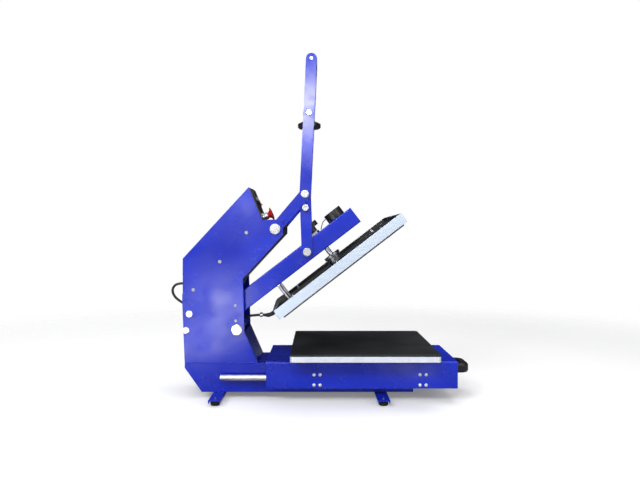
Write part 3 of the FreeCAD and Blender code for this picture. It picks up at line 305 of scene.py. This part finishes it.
def mesh_object(name, mesh):
    piece = bpy.data.objects.new(name, mesh)
    bpy.context.scene.collection.objects.link(piece)
    return piece


def applied(piece):
    """Applies the piece's modifiers, so that its mesh is the final one."""
    bpy.context.view_layer.update()
    graph = bpy.context.evaluated_depsgraph_get()
    final = bpy.data.meshes.new_from_object(piece.evaluated_get(graph))
    piece.modifiers.clear()
    piece.data = final
    return piece


def softened(node, width, segments=2, angle=28.0):
    """A copy of a CAD node with its sharp edges rounded as folded, sawn or moulded edges are."""
    mesh = frame["nodes"][node].data.copy()
    work = bmesh.new()
    work.from_mesh(mesh)
    bmesh.ops.remove_doubles(work, verts=work.verts, dist=0.00002)
    bmesh.ops.dissolve_limit(work, angle_limit=math.radians(1.0), verts=work.verts, edges=work.edges)
    work.to_mesh(mesh)
    work.free()
    piece = mesh_object(node + "_finished", mesh)
    bevel = piece.modifiers.new("round", "BEVEL")
    bevel.width = width
    bevel.segments = segments
    bevel.limit_method = "ANGLE"
    bevel.angle_limit = math.radians(angle)
    bevel.use_clamp_overlap = True
    bevel.harden_normals = False
    applied(piece)
    piece.data.shade_smooth()
    smooth = piece.modifiers.new("weighted", "WEIGHTED_NORMAL")
    smooth.keep_sharp = True
    smooth.weight = 100
    applied(piece)
    return finish_piece(piece, BODY_OF[node], SLOT_OF[node], node, material=SPECIAL.get(node))


# How far each CAD node's edges are rounded, in millimetres.
SOFTENED = {
    "base_box": 0.8, "side_plate_left": 1.6, "side_plate_right": 1.6, "control_box_cover": 0.8,
    "foot_channels": 0.6, "arm_tube": 0.5, "lever_bars": 0.7, "link_bars": 0.7, "drawer_shell": 0.4,
    "platen_rim": 0.4, "lower_platen": 0.9, "lower_pad": 1.2, "heating_plate": 0.6, "lever_grip": 1.2,
    "pressure_knob": 1.2, "drawer_rods": 0.3, "magnet": 0.8, "armature": 0.6, "terminal_box": 1.6,
    "controller": 0.9, "estop_button": 0.5, "estop_collar": 0.4, "rocker_housing": 0.4,
    "power_rocker": 0.5, "drawer_handle": 1.0,
    "slide_bearings": 0.6, "rod_blocks": 0.6, "pivot_bolts": 2.4, "knee_bolt": 1.6, "link_bolts": 1.2,
    "rear_bolts": 1.2, "lever_bolts": 1.4, "frame_screws": 0.4, "block_screws": 0.3, "thrust_boss": 0.5,
    "spindle_nut": 0.4, "lid_nuts": 0.3, "rubber_feet": 1.0, "controller_keys": 0.6, "power_inlet": 0.6,
    "cable_glands": 0.5, "limit_switch": 0.5, "column_front_plate": 0.4, "column_rear_panel": 0.3,
    "platen_lid": 0.3, "head_under_cover": 0.3,
}
for node, width in SOFTENED.items():
    softened(node, width * MM)
for node, piece in frame["nodes"].items():
    if node not in SOFTENED:
        piece.data.materials.clear()
        piece.data.materials.append(SPECIAL.get(node) or MATERIALS[SLOT_OF[node]])


def mesh_from_route(name, points, radius, swell=None, resolution=10, around=6):
    """A round lead on a smooth spline through its control points."""
    curve = bpy.data.curves.new(name + "_route", "CURVE")
    curve.dimensions = "3D"
    spline = curve.splines.new("NURBS")
    spline.points.add(len(points) - 1)
    for slot_point, place in zip(spline.points, points):
        slot_point.co = (*place, 1.0)
    for slot_point, factor in zip(spline.points, swell or ()):
        slot_point.radius = factor
    spline.order_u = 3
    spline.use_endpoint_u = True
    curve.resolution_u = resolution
    curve.bevel_depth = radius
    curve.bevel_resolution = around
    curve.use_fill_caps = True
    temporary = mesh_object(name + "_curve", curve)
    bpy.context.view_layer.update()
    graph = bpy.context.evaluated_depsgraph_get()
    mesh = bpy.data.meshes.new_from_object(temporary.evaluated_get(graph))
    bpy.data.objects.remove(temporary)
    mesh.shade_smooth()
    return mesh_object(name, mesh)


# ---------------------------------------------------------------- the heater's lead
LEAD_R = 0.0035
LEAD_LOOP = [(-0.3655, 0, 0.3030), (-0.3860, 0, 0.3045), (-0.4045, 0, 0.3000), (-0.4128, 0, 0.2850),
             (-0.4070, 0, 0.2680), (-0.3940, 0, 0.2560), (-0.3790, 0, 0.2470), (-0.3645, 0, 0.2400)]
LEAD_INSIDE = [(-0.3634, 0, 0.2398), (-0.3430, 0, 0.2394), (-0.3200, 0, 0.2305), (-0.2910, 0, 0.2160),
               (-0.2580, 0, 0.2078), (-0.2250, 0, 0.2070), (-0.1900, 0, 0.2135), (-0.1570, 0, 0.2154)]
LEAD_END = [(-0.1570, 0, 0.2154), (-0.1530, 0, 0.2148), (-0.1500, 0, 0.2146), (-0.1440, 0, 0.2144),
            (-0.1430, 0, 0.2144), (-0.1390, 0, 0.2150), (-0.1380, 0, 0.2152), (-0.1310, 0, 0.2178),
            (-0.1270, 0, 0.2210)]
BOOT_SWELL = (1.0, 1.05, 1.3, 1.45, 1.75, 1.8, 1.5, 1.7, 1.8)

loop = mesh_from_route("heater_lead_loop", LEAD_LOOP, LEAD_R)
finish_piece(loop, "frame", "lead_rubber", "heater_lead_rear")
inside = mesh_from_route("heater_lead_inside", LEAD_INSIDE, LEAD_R)
finish_piece(inside, None, "lead_rubber", "heater_lead_mid")
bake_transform(inside)
end = mesh_from_route("heater_lead_tail", LEAD_END, LEAD_R, BOOT_SWELL)
finish_piece(end, None, "lead_rubber", "heater_lead_end")
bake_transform(end)


# ---------------------------------------------------------------- welds and springs
def lumpy_tube(name, start, end, radius, seed, step=0.0016, around=10):
    """A weld bead between two places: overlapping ripples of uneven size."""
    chance = random.Random(seed)
    start, end = Vector(start), Vector(end)
    along = end - start
    count = max(6, int(along.length / step))
    side = along.normalized().cross(Vector((0, 1, 0)))
    work = bmesh.new()
    rings = []
    for k in range(count + 1):
        swell = 0.55 + 0.35 * abs(math.sin(k * 1.13)) + chance.uniform(-0.15, 0.35)
        if k in (0, count):
            swell = 0.1
        wander = side * chance.uniform(-0.35, 0.35) * radius
        middle = start + along * (k / count) + wander
        ring = []
        for j in range(around):
            turn = 2 * math.pi * j / around
            reach = side * math.cos(turn) * radius * 1.5 + Vector((0, 1, 0)) * math.sin(turn) * radius
            ring.append(work.verts.new(middle + reach * swell))
        rings.append(ring)
    for a, b in zip(rings, rings[1:]):
        for j in range(around):
            work.faces.new((a[j], a[(j + 1) % around], b[(j + 1) % around], b[j]))
    work.faces.new(rings[0])
    work.faces.new(rings[-1][::-1])
    bmesh.ops.recalc_face_normals(work, faces=work.faces)
    mesh = bpy.data.meshes.new(name)
    work.to_mesh(mesh)
    work.free()
    mesh.shade_smooth()
    return mesh_object(name, mesh)


def coil(name, start, end, radius, wire, turns, hook=0.006, per_turn=20, around=8):
    """A close-wound extension spring with a straight tail to each pin."""
    start, end = Vector(start), Vector(end)
    along = end - start
    length = along.length
    along.normalize()
    side = Vector((0, 1, 0))
    up = along.cross(side)
    path = [start]
    count = int(turns * per_turn)
    for k in range(count + 1):
        part = k / count
        turn = 2 * math.pi * turns * part
        offset = (side * math.cos(turn) + up * math.sin(turn)) * radius
        path.append(start + along * (hook + (length - 2 * hook) * part) + offset)
    path.append(end)
    curve = bpy.data.curves.new(name + "_route", "CURVE")
    curve.dimensions = "3D"
    spline = curve.splines.new("POLY")
    spline.points.add(len(path) - 1)
    for point, place in zip(spline.points, path):
        point.co = (*place, 1.0)
    curve.bevel_depth = wire
    curve.bevel_resolution = 2
    curve.use_fill_caps = True
    temporary = mesh_object(name + "_curve", curve)
    bpy.context.view_layer.update()
    mesh = bpy.data.meshes.new_from_object(temporary.evaluated_get(bpy.context.evaluated_depsgraph_get()))
    bpy.data.objects.remove(temporary)
    mesh.shade_smooth()
    return mesh_object(name, mesh)


def joined(name, pieces):
    """One piece from several meshes in the same frame."""
    work = bmesh.new()
    for piece in pieces:
        work.from_mesh(piece.data)
    mesh = bpy.data.meshes.new(name)
    work.to_mesh(mesh)
    work.free()
    mesh.shade_smooth()
    for piece in pieces:
        bpy.data.objects.remove(piece)
    return mesh_object(name, mesh)


WELD_SPANS = ((-0.3545, -0.292), (-0.290, -0.214), (-0.212, -0.168))     # X of each run of weld
WELD_R = 0.0017
WELD_DIP = 0.0004             # how far a run starts below the seam
WELD_RISE = (0.0006, -0.0002)  # where the even and the odd runs end, from the seam
WELD_SEED = 7


def add_welds():
    """The beads that join the column's side plates to the base."""
    plate_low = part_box("side_plate_right")[0]
    outer, seam = abs(plate_low[1]), plate_low[2]
    beads = []
    for side in (-1, 1):
        for k, (x0, x1) in enumerate(WELD_SPANS):
            start = (x0, outer * side, seam - WELD_DIP)
            end = (x1, outer * side, seam + WELD_RISE[k % 2])
            beads.append(lumpy_tube(f"bead_{side}_{k}", start, end, WELD_R, WELD_SEED * k + side))
    # The bead's lighter chip tone is a painted highlight along the glossy weld, on top of the chips and
    # scratches.
    painted = powder_coat("weld_paint_highlighted", *BLUE, (0.30, 0.38, 0.85), roughness=0.12)
    finish_piece(joined("column_welds", beads), "frame", "powder_coat_blue", material=painted)


SPRING_ANCHOR = (-0.347, 0.228)     # X, Z of the bolt that holds the springs' rear ends
SPRING_Y = (-0.027, 0.027)
SPRING_R = 0.0066
SPRING_WIRE = 0.0012
SPRING_TURNS = 30
SPRING_INSET = (0.002, 0.010)       # the front hook, back and down from the node's upper corner


def add_springs():
    """Two extension springs inside the column, from the anchor bolt towards the pin in the arm's tail."""
    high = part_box("return_springs")[1]
    start = Vector((SPRING_ANCHOR[0], 0, SPRING_ANCHOR[1]))
    pin = Vector((high[0] - SPRING_INSET[0], 0, high[2] - SPRING_INSET[1]))
    coils = []
    for k, y in enumerate(SPRING_Y):
        shift = Vector((0, y, 0))
        coils.append(coil(f"spring_{k}", start + shift, pin + shift, SPRING_R, SPRING_WIRE, SPRING_TURNS))
    piece = joined("spring_coils", coils)
    finish_piece(piece, None, "zinc_steel", "return_springs")
    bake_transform(piece)


add_welds()
add_springs()
bpy.context.view_layer.update()


# ---------------------------------------------------------------- camera, light and floor
def add_camera():
    data = bpy.data.cameras.new("camera")
    data.sensor_width = 36.0
    data.lens = CAMERA_LENS
    data.shift_x, data.shift_y = CAMERA_SHIFT
    camera = mesh_object("camera", data)
    camera.location = CAMERA_AT
    camera.rotation_euler = (math.radians(90), 0, 0)
    bpy.context.scene.camera = camera


def add_light(name, place, aim, size, power):
    data = bpy.data.lights.new(name, "AREA")
    data.shape = "RECTANGLE"
    data.size, data.size_y = size
    data.energy = power
    light = mesh_object(name, data)
    light.location = place
    light.rotation_euler = (Vector(aim) - Vector(place)).to_track_quat("-Z", "Y").to_euler()


def glow_patch(s, middle, reach, strength):
    """A soft oval of light on the floor, in metres."""
    shift = s.node("ShaderNodeMapping", vector_type="TEXTURE")
    shift.inputs["Location"].default_value = (*middle, 0.0)
    shift.inputs["Scale"].default_value = (*reach, 1.0)
    s.link(s.place, shift.inputs["Vector"])
    away = s.node("ShaderNodeVectorMath", operation="LENGTH")
    s.link(shift.outputs["Vector"], away.inputs[0])
    return s.ramp(away.outputs["Value"], 1.0, 0.55, 0.0, strength)


def add_floor():
    """A pale floor disc whose rim fades into the pale surroundings."""
    mesh = bpy.data.meshes.new("floor")
    work = bmesh.new()
    bmesh.ops.create_circle(work, cap_ends=True, segments=96, radius=FLOOR_FADE[1] + 0.2)
    work.to_mesh(mesh)
    work.free()
    floor = mesh_object("floor", mesh)
    floor.location.z = -0.0003
    s = Surface("pale_floor", roughness=0.5, specular=0.25)
    s.colour(s.mix(s.ramp(s.noise(1.3, 3.0), 0.3, 0.7), (0.88, 0.88, 0.89), (0.9, 0.9, 0.905)))
    s.shader.inputs["Emission Color"].default_value = (1.0, 1.0, 1.0, 1.0)
    s.shader.inputs["Emission Strength"].default_value = FLOOR_GLOW
    away = s.node("ShaderNodeVectorMath", operation="LENGTH")
    s.link(s.place, away.inputs[0])
    fade = s.ramp(away.outputs["Value"], *FLOOR_FADE)
    clear = s.node("ShaderNodeBsdfTransparent")
    dim = s.node("ShaderNodeBsdfDiffuse")
    dim.inputs["Color"].default_value = (0.34, 0.34, 0.36, 1.0)
    patches = s.math("ADD", *(glow_patch(s, *patch) for patch in FLOOR_PATCHES))
    path = s.node("ShaderNodeLightPath")
    lit = s.node("ShaderNodeEmission")
    s.link(s.math("MULTIPLY", patches, path.outputs["Is Glossy Ray"]), lit.inputs["Strength"])
    low_sheen = s.node("ShaderNodeAddShader")
    s.link(dim.outputs[0], low_sheen.inputs[0])
    s.link(lit.outputs[0], low_sheen.inputs[1])
    seen = s.node("ShaderNodeMixShader")
    s.link(path.outputs["Is Camera Ray"], seen.inputs[0])
    s.link(low_sheen.outputs[0], seen.inputs[1])
    s.link(s.shader.outputs[0], seen.inputs[2])
    mixed = s.node("ShaderNodeMixShader")
    s.link(fade, mixed.inputs[0])
    s.link(seen.outputs[0], mixed.inputs[1])
    s.link(clear.outputs[0], mixed.inputs[2])
    s.link(mixed.outputs[0], s.tree.nodes["Material Output"].inputs["Surface"])
    floor.data.materials.append(s.material)


def add_world():
    """Plain white surroundings, with a soft overhead glow as the light on the press."""
    world = bpy.data.worlds.new("studio")
    world.use_nodes = True
    tree = world.node_tree
    seen = tree.nodes["Background"]
    seen.inputs["Color"].default_value = (1.0, 1.0, 1.0, 1.0)
    seen.inputs["Strength"].default_value = BACKGROUND
    glow = tree.nodes.new("ShaderNodeBackground")
    where = tree.nodes.new("ShaderNodeTexCoord")
    split = tree.nodes.new("ShaderNodeSeparateXYZ")
    tree.links.new(where.outputs["Generated"], split.inputs[0])
    front = tree.nodes.new("ShaderNodeMapRange")
    front.interpolation_type = "SMOOTHSTEP"
    front.inputs["From Min"].default_value = 0.25
    front.inputs["From Max"].default_value = -0.75
    front.inputs["To Min"].default_value = SKY[0]
    front.inputs["To Max"].default_value = SKY[1]
    tree.links.new(split.outputs["Y"], front.inputs["Value"])
    above = tree.nodes.new("ShaderNodeMapRange")
    above.interpolation_type = "SMOOTHSTEP"
    above.inputs["From Min"].default_value = 0.45
    above.inputs["From Max"].default_value = 1.0
    above.inputs["To Min"].default_value = 0.0
    above.inputs["To Max"].default_value = OVERHEAD
    tree.links.new(split.outputs["Z"], above.inputs["Value"])
    both = tree.nodes.new("ShaderNodeMath")
    tree.links.new(front.outputs["Result"], both.inputs[0])
    tree.links.new(above.outputs["Result"], both.inputs[1])
    tree.links.new(both.outputs[0], glow.inputs["Strength"])
    path = tree.nodes.new("ShaderNodeLightPath")
    mixed = tree.nodes.new("ShaderNodeMixShader")
    tree.links.new(path.outputs["Is Camera Ray"], mixed.inputs[0])
    tree.links.new(glow.outputs[0], mixed.inputs[1])
    tree.links.new(seen.outputs[0], mixed.inputs[2])
    tree.links.new(mixed.outputs[0], tree.nodes["World Output"].inputs["Surface"])
    bpy.context.scene.world = world


add_camera()
add_floor()
add_world()
for light in LIGHTS:
    add_light(*light)
bpy.context.scene.view_settings.view_transform = "Standard"
